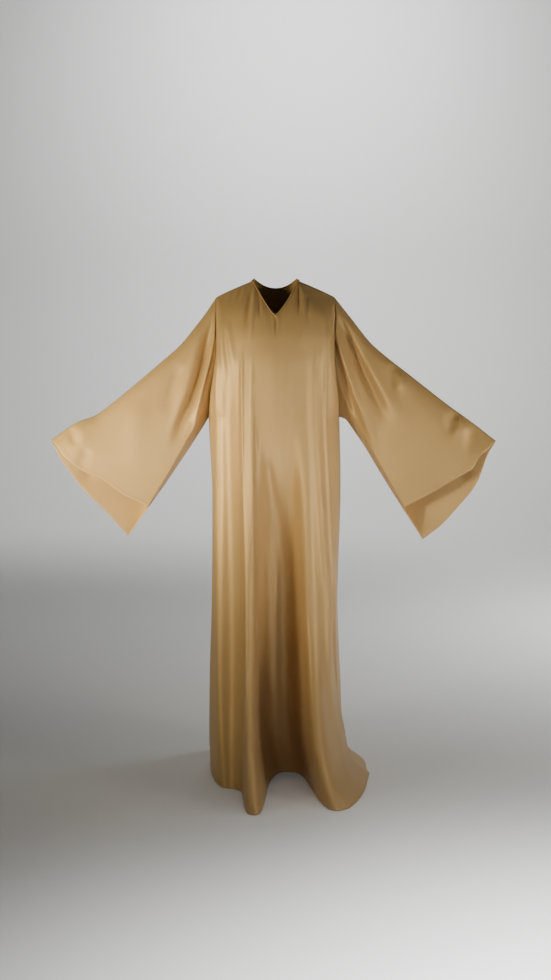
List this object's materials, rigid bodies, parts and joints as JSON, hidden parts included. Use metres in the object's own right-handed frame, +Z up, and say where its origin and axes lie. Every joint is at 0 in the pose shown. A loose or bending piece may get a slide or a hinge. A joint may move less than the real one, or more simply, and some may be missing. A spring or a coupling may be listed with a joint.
{
  "type": "abaya",
  "caption": "Long abaya in camel satin crepe with a V neck, wide straight sleeves held out and a folded hem that reaches the floor.",
  "frame": {"origin": "at the neck, midway between the points where the shoulder seams meet the neck edge", "axes": "+X to the viewer's right, +Y from the garment's front to its back, +Z up"},
  "size_m": [1.2009, 0.685, 1.418],
  "materials": {
    "cloth": "camel satin crepe with a soft sheen",
    "binding": "the same satin crepe, cut on the bias"
  },
  "bodies": {
    "root": {"front": "cloth", "back": "cloth", "sleeve_left": "cloth", "sleeve_right": "cloth", "neck_binding": "binding"}
  },
  "joints": []
}
